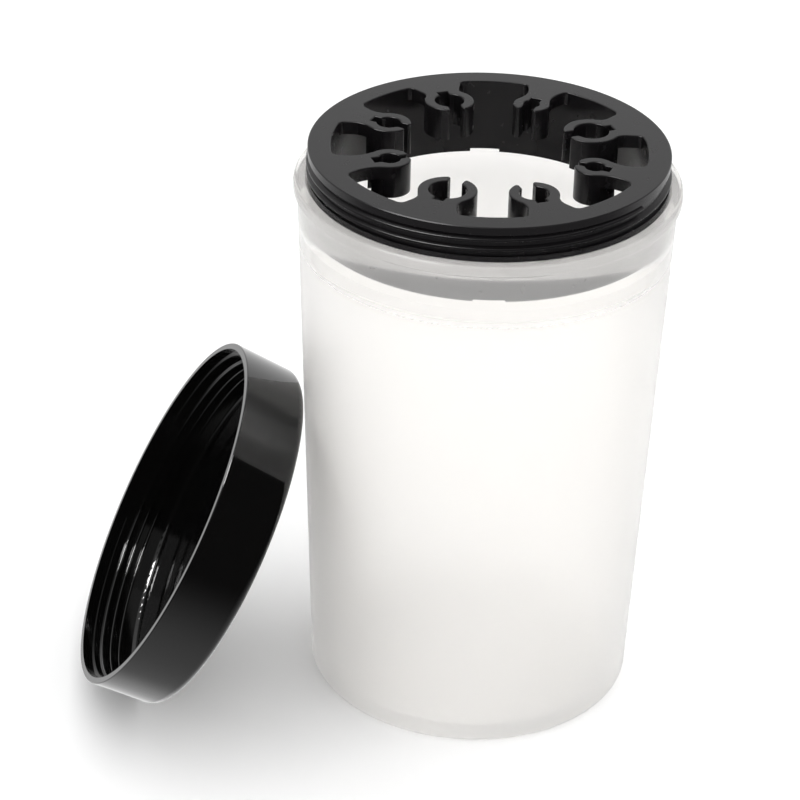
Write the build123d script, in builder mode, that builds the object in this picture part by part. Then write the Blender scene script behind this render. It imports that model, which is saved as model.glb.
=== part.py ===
from build123d import *
from math import cos, hypot, radians, sin, tan
import os

# Brush cleaning cup: a tapered cup, a ring of brush clips that plugs into its mouth, and a screw lid.
# Millimetres, +Z up.  The origin is the middle of the cup's base.  The lid is off the cup: it stands on
# the edge of its closed end and leans against the cup's -X side.

# ---- cup ----
cup_height = 102.9            # base to the rim's top face
rim_radius = 35.0
rim_height = 2.0              # the rim is a lip that stands out from the wall
rim_edge_fillet = 0.6
wall_top_radius = 34.25       # outside, just under the rim
foot_radius = 30.8            # outside, at the base
foot_fillet = 1.2
floor_thickness = 2.0
floor_fillet = 3.0            # inside, floor to wall
seat_radius = 32.75           # shallow seat in the rim, where the ring's flange sits
seat_depth = 0.5
bore_radius = 32.0            # the straight bore that holds the ring's plug
bore_depth = 9.5
wall_thickness = 1.6

# ---- brush holder ring ----
ring_top = 109.2
neck_radius = 32.0            # root of the neck's thread
shoulder_radius = 32.5        # smooth band above the thread
shoulder_height = 1.45
shoulder_chamfer = 0.15
deck_edge_fillet = 0.25       # on the top edges of the clips and windows
flange_radius = 32.5          # smooth band below the thread
flange_height = 0.8           # above the rim's top face
plug_radius = 31.85
plug_depth = 8.1              # below the rim's top face
plug_chamfer = 0.5
tube_radius = 28.3            # inside of the ring
foot_notch_width = 5.5        # two shallow notches in the plug's lower edge
foot_notch_height = 0.6

clip_depth = 6.0              # the clips' arms, down from the top face
bridge_thickness = 2.4        # the flat bridges that join the clips to the ring
clip_wall = 1.85
waist_radius = 24.2           # distance from the axis to the narrowest place of a bridge
waist_reach = 1.2             # but no further from the clip's centre than this many outer radii
waist_ratio = 0.74            # a bridge's half width there, over its clip's outer radius
flare_angle = 25.0            # how far a bridge's sides turn outward before they meet the ring
bridge_overlap = 1.5          # how far a bridge's root reaches into the ring
window_corner_fillet = 1.2
tip_fillet = 0.5
relief_width = 2.0            # slot at the outward end of each bore, which lets the arms spring
relief_depth = 1.1            # in the bridge; below it the slot goes right through

# One row per clip: its direction from the axis (degrees), the bore's diameter, the distance from the
# axis to the bore, and the width of the mouth.
clips = [
    (22.5, 6.4, 20.0, 2.2),
    (67.0, 3.0, 20.4, 2.4),
    (110.3, 5.4, 20.6, 2.4),
    (153.8, 4.4, 20.2, 1.8),
    (199.2, 3.9, 18.8, 1.2),
    (247.5, 6.7, 19.6, 2.6),
    (292.0, 5.2, 20.0, 2.6),
    (338.5, 3.6, 19.9, 1.2),
]

# ---- thread, cut to the same pitch on the neck and in the lid ----
thread_pitch = 1.8
thread_flank_share = 0.6      # the flanks' share of a ridge's height; the rest is the rounded crest
thread_overlap = 0.15         # how far a thread's root is sunk into its wall
neck_ridge_height = 0.75
neck_ridge_width = 1.4        # at its root; the neck's ridges are broad, with narrow grooves between
neck_thread_turns = 1.4
neck_thread_start = 1.6       # above the rim, middle of the first turn's crest
neck_thread_heading = 180.0   # where the thread starts, round the axis
lid_ridge_height = 0.5
lid_ridge_width = 0.9         # narrower than the neck's grooves are wide
lid_thread_turns = 3.3
lid_thread_start = 2.9        # from the lid's mouth, middle of the first turn's crest

# ---- lid ----
lid_height = 12.5
lid_mouth_radius = 34.7
lid_mouth_fillet = 0.2
lid_face_radius = 34.2        # outside, at the closed end
lid_edge_fillet = 1.6
lid_bore_radius = 33.1        # root of the lid's thread
lid_top_thickness = 1.5
lid_inner_fillet = 0.8
lid_step_radius = 33.5        # smooth, slightly wider band inside the mouth
lid_step_depth = 2.2

# ---- how the lid leans on the cup ----
lean_angle = 28.0             # the lid's axis dips this far below level
lean_direction = 4.9          # heading of the lid's axis in plan, from +X
lean_offset = -3.8            # the lid's axis passes this far to one side of the cup's axis
lean_gap = 0.3                # left between the lid and the cup


def helical_ridge(start, direction, radius, turns, height, root_width, inward):
    """A helical thread ridge on a cylinder, returned as a solid.

    start and direction give the cylinder's axis.  The ridge grows inward in a bore, outward on a neck.
    """
    side = -1 if inward else 1
    crest_width = root_width / 2
    with BuildPart() as ridge:
        with BuildLine() as path:
            helix = Helix(thread_pitch, thread_pitch * turns, radius, center=start, direction=direction)
        outward = ((helix @ 0) - Vector(*start)).normalized()
        with BuildSketch(Plane(origin=helix @ 0, x_dir=outward, z_dir=helix % 0)) as section:
            with BuildLine():
                low_root = Vector(-side * thread_overlap, -root_width / 2)
                high_root = Vector(-side * thread_overlap, root_width / 2)
                low_flank = Vector(side * thread_flank_share * height, -crest_width / 2)
                high_flank = Vector(side * thread_flank_share * height, crest_width / 2)
                Line(low_root, low_flank)
                ThreePointArc(low_flank, (side * height, 0), high_flank)
                Line(high_flank, high_root)
                Line(high_root, low_root)
            make_face()
        sweep(sections=section.sketch, path=path.line, is_frenet=True)
    return ridge.part


def bridge_plan(outer_radius, centre_radius):
    """Plan of the bridge that joins a clip to the ring.  The clip lies along +Y from the ring's axis."""
    half_waist = waist_ratio * outer_radius
    rise = min(waist_radius - centre_radius, waist_reach * outer_radius)
    # The bridge's sides are arcs that leave the clip's outside without a corner.
    side_radius = (half_waist**2 + rise**2 - outer_radius**2) / (2 * (outer_radius - half_waist))
    clip_centre = Vector(0, centre_radius)
    side_centre = Vector(half_waist + side_radius, centre_radius + rise)
    leaves_clip = clip_centre + (side_centre - clip_centre).normalized() * outer_radius
    waist = Vector(half_waist, centre_radius + rise)
    flare = radians(flare_angle)
    leaves_arc = side_centre + Vector(-cos(flare), sin(flare)) * side_radius
    root_y = tube_radius + bridge_overlap
    root_x = leaves_arc.X + (root_y - leaves_arc.Y) * tan(flare)
    with BuildSketch() as plan:
        with BuildLine():
            ThreePointArc(leaves_clip, waist, leaves_arc)
            Line(leaves_arc, (root_x, root_y))
            Line((root_x, root_y), (0, root_y))
            mirror(about=Plane.YZ)
            Line(leaves_clip, (-leaves_clip.X, leaves_clip.Y))
        make_face()
    return plan.sketch


def clip_plan(bore_diameter, centre_radius, mouth, bridged):
    """Plan of one clip, which lies along +Y from the ring's axis.

    In the bridged layer the clip is one piece with its bridge.  Below it, two arms hang free.
    """
    outer_radius = bore_diameter / 2 + clip_wall
    slot_reach = bore_diameter / 2 + relief_depth if bridged else outer_radius + 1
    with BuildSketch() as plan:
        if bridged:
            add(bridge_plan(outer_radius, centre_radius))
        with Locations((0, centre_radius)):
            Circle(outer_radius)
            Circle(bore_diameter / 2, mode=Mode.SUBTRACT)
            Rectangle(mouth, outer_radius + 1, align=(Align.CENTER, Align.MAX), mode=Mode.SUBTRACT)
            Rectangle(relief_width, slot_reach, align=(Align.CENTER, Align.MIN), mode=Mode.SUBTRACT)
        tips = plan.vertices().filter_by(
            lambda v: abs(abs(v.X) - mouth / 2) < 0.01 and v.Y < centre_radius
        )
        fillet(tips, tip_fillet)
    return plan.sketch


# ---- cup ----
with BuildPart() as cup:
    with BuildSketch(Plane.XZ):
        with BuildLine():
            Polyline(
                (0, 0),
                (foot_radius, 0),
                (wall_top_radius, cup_height - rim_height),
                (rim_radius, cup_height - rim_height),
                (rim_radius, cup_height),
                (seat_radius, cup_height),
                (seat_radius, cup_height - seat_depth),
                (bore_radius, cup_height - seat_depth),
                (bore_radius, cup_height - bore_depth),
                (foot_radius - wall_thickness, floor_thickness),
                (0, floor_thickness),
                close=True,
            )
        make_face()
    revolve(axis=Axis.Z)
    rings = cup.edges().filter_by(GeomType.CIRCLE)
    rim_edges = rings.filter_by(lambda e: abs(e.radius - rim_radius) < 0.01)
    foot_edge = rings.filter_by(lambda e: abs(e.radius - foot_radius) < 0.01)
    floor_edge = rings.filter_by(lambda e: abs(e.radius - (foot_radius - wall_thickness)) < 0.01)
    fillet(rim_edges, rim_edge_fillet)
    fillet(foot_edge, foot_fillet)
    fillet(floor_edge, floor_fillet)
cup.part.label = "cup"

# ---- brush holder ring ----
neck_thread = helical_ridge(
    start=(0, 0, cup_height + neck_thread_start),
    direction=(0, 0, 1),
    radius=neck_radius,
    turns=neck_thread_turns,
    height=neck_ridge_height,
    root_width=neck_ridge_width,
    inward=False,
)

with BuildPart() as brush_holder_ring:
    with BuildSketch(Plane.XZ):
        with BuildLine():
            Polyline(
                (tube_radius, ring_top),
                (shoulder_radius - shoulder_chamfer, ring_top),
                (shoulder_radius, ring_top - shoulder_chamfer),
                (shoulder_radius, ring_top - shoulder_height),
                (neck_radius, ring_top - shoulder_height - (shoulder_radius - neck_radius)),
                (neck_radius, cup_height + flange_height),
                (flange_radius, cup_height + flange_height),
                (flange_radius, cup_height - seat_depth),
                (plug_radius, cup_height - seat_depth),
                (plug_radius, cup_height - plug_depth + plug_chamfer),
                (plug_radius - plug_chamfer, cup_height - plug_depth),
                (tube_radius, cup_height - plug_depth),
                close=True,
            )
        make_face()
    revolve(axis=Axis.Z)
    add(neck_thread, rotation=(0, 0, neck_thread_heading))
    # The bridges, the clips' upper ends and the ring's inner edge are one flat plan.
    with BuildSketch(Plane.XY.offset(ring_top)) as deck:
        Circle(tube_radius + bridge_overlap)
        Circle(tube_radius, mode=Mode.SUBTRACT)
        for direction, bore_diameter, centre_radius, mouth in clips:
            add(clip_plan(bore_diameter, centre_radius, mouth, bridged=True), rotation=direction - 90)
        corners = deck.vertices().filter_by(lambda v: abs(hypot(v.X, v.Y) - tube_radius) < 0.01)
        fillet(corners, window_corner_fillet)
    extrude(amount=-bridge_thickness)
    with BuildSketch(Plane.XY.offset(ring_top - bridge_thickness)):
        for direction, bore_diameter, centre_radius, mouth in clips:
            add(clip_plan(bore_diameter, centre_radius, mouth, bridged=False), rotation=direction - 90)
    extrude(amount=bridge_thickness - clip_depth)
    top_face = brush_holder_ring.faces().sort_by(Axis.Z)[-1]
    fillet(top_face.inner_wires().edges(), deck_edge_fillet)
    with BuildSketch(Plane.XY.offset(cup_height - plug_depth)):
        Rectangle(foot_notch_width, 3 * plug_radius)
    extrude(amount=foot_notch_height, mode=Mode.SUBTRACT)
brush_holder_ring.part.label = "brush_holder_ring"

# ---- lid, in place ----
# The lid stands on the rounded edge of its closed end, and that edge's other side meets the cup.
lid_slope = (lid_mouth_radius - lid_face_radius) / lid_height
edge_circle_radius = lid_face_radius - lid_edge_fillet * (hypot(1, lid_slope) - lid_slope)
edge_circle_height = lid_height - lid_edge_fillet
dip = radians(lean_angle)
heading = radians(lean_direction)
mouth_z = lid_edge_fillet + edge_circle_radius * cos(dip) + edge_circle_height * sin(dip)
contact_z = lid_edge_fillet + 2 * edge_circle_radius * cos(dip)
wall_slope = (wall_top_radius - foot_radius) / (cup_height - rim_height)
cup_radius_at_contact = foot_radius + wall_slope * contact_z
contact_reach = cup_radius_at_contact + lid_edge_fillet + lean_gap
mouth_reach = contact_reach + edge_circle_height * cos(dip) + edge_circle_radius * sin(dip)
along = Vector(cos(heading), sin(heading), 0)
across = Vector(-sin(heading), cos(heading), 0)
lid_axis = along * cos(dip) - Vector(0, 0, sin(dip))
lid_mouth = along * -mouth_reach + across * lean_offset + Vector(0, 0, mouth_z)
lid_section = Plane(origin=lid_mouth, x_dir=across, z_dir=across.cross(lid_axis))

lid_thread = helical_ridge(
    start=tuple(lid_mouth + lid_axis * lid_thread_start),
    direction=tuple(lid_axis),
    radius=lid_bore_radius,
    turns=lid_thread_turns,
    height=lid_ridge_height,
    root_width=lid_ridge_width,
    inward=True,
)

with BuildPart() as screw_lid:
    with BuildSketch(lid_section):
        with BuildLine():
            Polyline(
                (0, lid_height),
                (lid_face_radius, lid_height),
                (lid_mouth_radius, 0),
                (lid_step_radius, 0),
                (lid_step_radius, lid_step_depth),
                (lid_bore_radius, lid_step_depth),
                (lid_bore_radius, lid_height - lid_top_thickness),
                (0, lid_height - lid_top_thickness),
                close=True,
            )
        make_face()
    revolve(axis=Axis(lid_mouth, lid_axis))
    circles = screw_lid.edges().filter_by(GeomType.CIRCLE)
    mouth_edge = circles.filter_by(lambda e: abs(e.radius - lid_mouth_radius) < 0.01)
    outer_edge = circles.filter_by(lambda e: abs(e.radius - lid_face_radius) < 0.01)
    inner_edge = circles.filter_by(lambda e: abs(e.radius - lid_bore_radius) < 0.01)
    fillet(mouth_edge, lid_mouth_fillet)
    fillet(outer_edge, lid_edge_fillet)
    fillet(inner_edge.sort_by(Axis(lid_mouth, lid_axis))[-1], lid_inner_fillet)
    add(lid_thread)
screw_lid.part.label = "screw_lid"

os.makedirs("parts", exist_ok=True)
for piece in (cup, brush_holder_ring, screw_lid):
    export_step(piece.part, "parts/" + piece.part.label + ".step")
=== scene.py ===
"""Looks of the brush cleaning cup: a frosted cup, its black ring of brush clips and a black screw lid."""

from math import cos, pi, radians, sin, tan

import bpy
from mathutils import Matrix, Vector


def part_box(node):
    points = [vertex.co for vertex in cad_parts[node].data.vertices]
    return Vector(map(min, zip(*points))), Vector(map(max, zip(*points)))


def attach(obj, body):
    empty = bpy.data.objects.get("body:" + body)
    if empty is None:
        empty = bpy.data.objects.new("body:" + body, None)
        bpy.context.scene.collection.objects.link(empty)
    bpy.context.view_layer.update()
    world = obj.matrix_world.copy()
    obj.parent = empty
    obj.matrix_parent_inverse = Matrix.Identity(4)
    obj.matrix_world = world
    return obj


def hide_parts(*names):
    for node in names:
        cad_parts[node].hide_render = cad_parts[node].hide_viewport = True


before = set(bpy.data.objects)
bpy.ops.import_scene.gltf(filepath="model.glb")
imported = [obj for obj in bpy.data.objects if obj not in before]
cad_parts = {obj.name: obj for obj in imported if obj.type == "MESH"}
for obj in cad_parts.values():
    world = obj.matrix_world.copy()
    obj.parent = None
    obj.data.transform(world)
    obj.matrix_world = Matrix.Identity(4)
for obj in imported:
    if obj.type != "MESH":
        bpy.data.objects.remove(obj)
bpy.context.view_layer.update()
MM = 0.001

# ---- cup, outside and inside ----
CUP_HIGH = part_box("cup")[1]
CUP_HEIGHT = CUP_HIGH.z
RIM_RADIUS = min(CUP_HIGH.xy)
RIM_HEIGHT = 2.0 * MM
WALL_TOP_RADIUS = 34.25 * MM
FOOT_RADIUS = 30.8 * MM
WALL = 1.6 * MM
FLOOR = 2.0 * MM
SEAT_RADIUS = 32.75 * MM
SEAT_DEPTH = 0.5 * MM
BORE_RADIUS = 32.0 * MM
BORE_DEPTH = 9.5 * MM
FOOT_FILLET = 1.2 * MM
RIM_FILLET = 0.6 * MM
SMALL_FILLET = 0.3 * MM
SEAT_FILLET = 0.2 * MM
BORE_FILLET = 1.0 * MM
FLOOR_FILLET = 3.0 * MM
AROUND = 256                # faces round the cup
ARC_STEPS = 6               # spans in each rounded corner of the profile

# ---- clearer plastic near the rim, by height ----
NECK_START = CUP_HEIGHT - 16 * MM
NECK_END = CUP_HEIGHT - 9 * MM

# ---- light ----
TENT = 1.13                 # brightness of the white surroundings
FLOOR_ALBEDO = 0.97
FLOOR_SIZE = 6

# ---- camera, as in the view being matched ----
PITCH = radians(30.32)      # the camera looks down by this much
ROLL = radians(1.59)
CAMERA_PLACE = Vector((-14.73, -454.17, 321.79)) * MM
SENSOR_WIDTH = 36
LENS = 126


def arc_corner(before, corner, after, radius, steps=ARC_STEPS):
    """Points of the arc that rounds the corner of a profile."""
    to_before = (before - corner).normalized()
    to_after = (after - corner).normalized()
    half = to_before.angle(to_after) / 2
    reach = radius / tan(half)
    start = corner + to_before * reach
    end = corner + to_after * reach
    centre = corner + (to_before + to_after).normalized() * radius / sin(half)
    points = []
    for step in range(steps + 1):
        share = step / steps
        spoke = (start - centre).lerp(end - centre, share).normalized()
        points.append(centre + spoke * radius)
    return points


def rounded_profile(corners):
    """corners is a list of (radius from the axis, height, corner radius)."""
    spots = [Vector((r, z)) for r, z, _ in corners]
    profile = []
    for i, (_, _, radius) in enumerate(corners):
        if radius == 0 or i in (0, len(corners) - 1):
            profile.append(spots[i])
        else:
            profile.extend(arc_corner(spots[i - 1], spots[i], spots[i + 1], radius))
    return profile


def lathe(name, profile, around=AROUND):
    """A profile turned about Z. Its first and last points lie on the axis."""
    verts = []
    for spot in profile[1:-1]:
        for k in range(around):
            turn = 2 * pi * k / around
            verts.append((spot.x * cos(turn), spot.x * sin(turn), spot.y))
    rows = len(profile) - 2
    first, last = len(verts), len(verts) + 1
    verts += [(0, 0, profile[0].y), (0, 0, profile[-1].y)]
    faces = []
    for k in range(around):
        after = (k + 1) % around
        faces.append((first, after, k))
        for row in range(rows - 1):
            a, b = row * around, (row + 1) * around
            faces.append((a + k, a + after, b + after, b + k))
        faces.append((last, (rows - 1) * around + k, (rows - 1) * around + after))
    mesh = bpy.data.meshes.new(name)
    mesh.from_pydata(verts, [], faces)
    mesh.validate()
    mesh.shade_smooth()
    obj = bpy.data.objects.new(name, mesh)
    bpy.context.scene.collection.objects.link(obj)
    return obj


# ---- materials ----
def new_material(name):
    mat = bpy.data.materials.new(name)
    mat.use_nodes = True
    return mat, mat.node_tree, mat.node_tree.nodes["Principled BSDF"]


def coordinates(tree, kind):
    return tree.nodes.new("ShaderNodeTexCoord").outputs[kind]


def axes(tree, kind):
    """The X, Y and Z sockets of a kind of coordinate."""
    node = tree.nodes.new("ShaderNodeSeparateXYZ")
    tree.links.new(coordinates(tree, kind), node.inputs["Vector"])
    return node.outputs


def noise(tree, scale, detail=3.0):
    node = tree.nodes.new("ShaderNodeTexNoise")
    node.inputs["Scale"].default_value = scale
    node.inputs["Detail"].default_value = detail
    tree.links.new(coordinates(tree, "Object"), node.inputs["Vector"])
    return node.outputs["Fac"]


def map_range(tree, value, start, end, low, high, interpolation):
    node = tree.nodes.new("ShaderNodeMapRange")
    node.interpolation_type = interpolation
    node.inputs["From Min"].default_value = start
    node.inputs["From Max"].default_value = end
    node.inputs["To Min"].default_value = low
    node.inputs["To Max"].default_value = high
    tree.links.new(value, node.inputs["Value"])
    return node.outputs["Result"]


def between(tree, value, low, high):
    """Carry a value from 0 to 1 over to the range from low to high."""
    return map_range(tree, value, 0.0, 1.0, low, high, "LINEAR")


def ramp(tree, value, start, end, low, high):
    """A smooth step of value, from low at start to high at end."""
    return map_range(tree, value, start, end, low, high, "SMOOTHSTEP")


def combine(tree, operation, a, b):
    """A Math node. Each operand is a float or a socket."""
    node = tree.nodes.new("ShaderNodeMath")
    node.operation = operation
    for socket, value in zip(node.inputs, (a, b)):
        if isinstance(value, float):
            socket.default_value = value
        else:
            tree.links.new(value, socket)
    return node.outputs["Value"]


def bump(tree, shader, height, strength, distance):
    node = tree.nodes.new("ShaderNodeBump")
    node.inputs["Strength"].default_value = strength
    node.inputs["Distance"].default_value = distance
    tree.links.new(height, node.inputs["Height"])
    tree.links.new(node.outputs["Normal"], shader.inputs["Normal"])


def frosted_plastic():
    """The outer face: misted over the body, and clearer and smoother towards the rim."""
    mat, tree, shader = new_material("frosted_polypropylene")
    shader.inputs["Base Color"].default_value = (0.985, 0.975, 0.962, 1)
    shader.inputs["IOR"].default_value = 1.3
    neck = ramp(tree, axes(tree, "Object")["Z"], NECK_START, NECK_END, 0.0, 1.0)
    tree.links.new(between(tree, neck, 0.6, 0.78), shader.inputs["Transmission Weight"])
    grain = noise(tree, 900)
    misting = between(tree, grain, 0.36, 0.4)
    smoothing = between(tree, neck, 1.0, 0.5)
    tree.links.new(combine(tree, "MULTIPLY", smoothing, misting), shader.inputs["Roughness"])
    bump(tree, shader, grain, 0.1, 0.00001)
    return mat


def inner_plastic(name, low, high):
    """The inner faces, which let all the light through."""
    mat, tree, shader = new_material(name)
    shader.inputs["Base Color"].default_value = (0.998, 0.985, 0.965, 1)
    shader.inputs["Transmission Weight"].default_value = 1.0
    shader.inputs["IOR"].default_value = 1.3
    tree.links.new(between(tree, noise(tree, 700), low, high), shader.inputs["Roughness"])
    return mat


def black_satin():
    mat, tree, shader = new_material("black_satin")
    shader.inputs["Base Color"].default_value = (0.006, 0.0054, 0.006, 1)
    shader.inputs["Specular IOR Level"].default_value = 0.2
    shader.inputs["IOR"].default_value = 1.5
    grain = noise(tree, 500)
    tree.links.new(between(tree, grain, 0.22, 0.3), shader.inputs["Roughness"])
    bump(tree, shader, grain, 0.3, 0.00002)
    return mat


def black_gloss():
    """Handling marks in the gloss, over a slight waviness of the moulding."""
    mat, tree, shader = new_material("black_gloss")
    shader.inputs["Base Color"].default_value = (0.002, 0.0019, 0.0019, 1)
    shader.inputs["IOR"].default_value = 1.5
    tree.links.new(between(tree, noise(tree, 70), 0.04, 0.09), shader.inputs["Roughness"])
    bump(tree, shader, noise(tree, 260, detail=1.0), 1.0, 0.00001)
    return mat


# ---- cup ----
cup_profile = rounded_profile([
    (0, 0, 0),
    (FOOT_RADIUS, 0, FOOT_FILLET),
    (WALL_TOP_RADIUS, CUP_HEIGHT - RIM_HEIGHT, SMALL_FILLET),
    (RIM_RADIUS, CUP_HEIGHT - RIM_HEIGHT, SMALL_FILLET),
    (RIM_RADIUS, CUP_HEIGHT, RIM_FILLET),
    (SEAT_RADIUS, CUP_HEIGHT, SEAT_FILLET),
    (SEAT_RADIUS, CUP_HEIGHT - SEAT_DEPTH, 0),
    (BORE_RADIUS, CUP_HEIGHT - SEAT_DEPTH, 0),
    (BORE_RADIUS, CUP_HEIGHT - BORE_DEPTH, BORE_FILLET),
    (FOOT_RADIUS - WALL, FLOOR, FLOOR_FILLET),
    (0, FLOOR, 0),
])
cup = lathe("frosted_cup", cup_profile)
OUTSIDE, INSIDE, BORE = range(3)
cup.data.materials.append(frosted_plastic())
cup.data.materials.append(inner_plastic("clear_inner_wall", 0.3, 0.45))
cup.data.materials.append(inner_plastic("polished_bore", 0.03, 0.08))
for face in cup.data.polygons:
    middle = face.center
    within = middle.z > FLOOR - 0.1 * MM and middle.xy.length < BORE_RADIUS + 0.01 * MM
    level = face.normal.z >= 0.99
    if within and not level:
        faces_axis = face.normal.xy.dot(middle.xy) < 0
        in_bore = middle.z > CUP_HEIGHT - BORE_DEPTH + BORE_FILLET
        face.material_index = OUTSIDE if not faces_axis else BORE if in_bore else INSIDE
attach(cup, "cup")
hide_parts("cup")

# ---- ring and lid keep their CAD shape ----
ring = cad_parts["brush_holder_ring"]
ring.data.materials[0] = black_satin()
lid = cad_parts["screw_lid"]
lid.data.materials[0] = black_gloss()

# ---- floor, light and camera ----
bpy.ops.mesh.primitive_plane_add(size=FLOOR_SIZE)
floor = bpy.context.object
floor.name = "floor"
floor_mat, _, floor_shader = new_material("pale_floor")
floor_shader.inputs["Base Color"].default_value = (FLOOR_ALBEDO, FLOOR_ALBEDO, FLOOR_ALBEDO, 1)
floor_shader.inputs["Roughness"].default_value = 0.6
floor.data.materials.append(floor_mat)

# Reflections don't see the floor, only the world below the horizon, as with dark cards round the table.
floor.visible_glossy = False


def studio_world():
    """A white tent lights the object, but reflections see a tent with a dim front."""
    world = bpy.data.worlds.new("studio")
    world.use_nodes = True
    world.cycles.sampling_method = "NONE"
    tree = world.node_tree
    heading = axes(tree, "Generated")

    back_half = ramp(tree, heading["Z"], 0.4, 0.7, 1.1, 0.7)
    ceiling = ramp(tree, heading["Z"], 0.67, 0.71, 0.03, 0.7)
    table = ramp(tree, heading["Z"], -0.85, -0.1, 0.7, 0.0)
    front_half = combine(tree, "ADD", ceiling, table)
    back_share = ramp(tree, heading["Y"], -0.1, 0.25, 0.0, 1.0)
    front_share = combine(tree, "SUBTRACT", 1.0, back_share)
    mirrored = combine(
        tree, "ADD",
        combine(tree, "MULTIPLY", back_half, back_share),
        combine(tree, "MULTIPLY", front_half, front_share),
    )

    rays = tree.nodes.new("ShaderNodeLightPath").outputs
    reflected_only = combine(tree, "SUBTRACT", 1.0, rays["Is Transmission Ray"])
    glossy = combine(tree, "MULTIPLY", rays["Is Glossy Ray"], reflected_only)
    mix = tree.nodes.new("ShaderNodeMix")
    mix.inputs["A"].default_value = TENT
    tree.links.new(glossy, mix.inputs["Factor"])
    tree.links.new(mirrored, mix.inputs["B"])
    background = tree.nodes["Background"]
    background.inputs["Color"].default_value = (1, 1, 1, 1)
    tree.links.new(mix.outputs["Result"], background.inputs["Strength"])
    bpy.context.scene.world = world


def area_light(name, place, aim, size, radiance, along=(1, 0, 0)):
    """A rectangle of even brightness. Its side size[0] lies along the direction given."""
    data = bpy.data.lights.new(name, "AREA")
    data.shape = "RECTANGLE"
    data.size, data.size_y = size
    data.energy = radiance * pi * size[0] * size[1]
    back = (Vector(place) - Vector(aim)).normalized()
    side = Vector(along)
    side = (side - back * side.dot(back)).normalized()
    turn = Matrix((side, back.cross(side), back)).transposed()
    obj = bpy.data.objects.new(name, data)
    obj.matrix_world = Matrix.Translation(place) @ turn.to_4x4()
    bpy.context.scene.collection.objects.link(obj)
    return obj


studio_world()
fill = area_light("front_fill", (-0.25, -0.85, 0.25), (0, 0, 0.02), (1.2, 0.5), 1.2)
fill.visible_glossy = False
area_light("overhead", (0.0, 0.5, 1.3), (0, 0, 0.05), (1.4, 1.2), 0.3)
glint = area_light(
    "left_softbox", (-0.43, -0.16, 0.96), (0, 0, 0.1), (0.5, 0.25), 40.0, along=(0.38, -0.3, 0.14)
)
glint.visible_diffuse = False
glint.visible_transmission = False
area_light("right_softbox", (0.55, 0.03, 0.92), (0, 0, 0.1), (0.5, 0.12), 2.0, along=(0.35, 0.55, -0.3))

cycles = bpy.context.scene.cycles       # light has to cross the cup's walls many times
cycles.max_bounces = 32
cycles.transmission_bounces = 32
cycles.diffuse_bounces = 16

forward = Vector((0, cos(PITCH), -sin(PITCH)))
level_right = Vector((1, 0, 0))
level_up = Vector((0, sin(PITCH), cos(PITCH)))
right = level_right * cos(ROLL) + level_up * sin(ROLL)
up = level_up * cos(ROLL) - level_right * sin(ROLL)
camera_turn = Matrix((right, up, -forward)).transposed()
camera_data = bpy.data.cameras.new("camera")
camera_data.sensor_width = SENSOR_WIDTH
camera_data.lens = LENS
camera_data.clip_start = 0.01
camera = bpy.data.objects.new("camera", camera_data)
camera.matrix_world = Matrix.Translation(CAMERA_PLACE) @ camera_turn.to_4x4()
bpy.context.scene.collection.objects.link(camera)
bpy.context.scene.camera = camera
bpy.context.scene.view_settings.view_transform = "Standard"
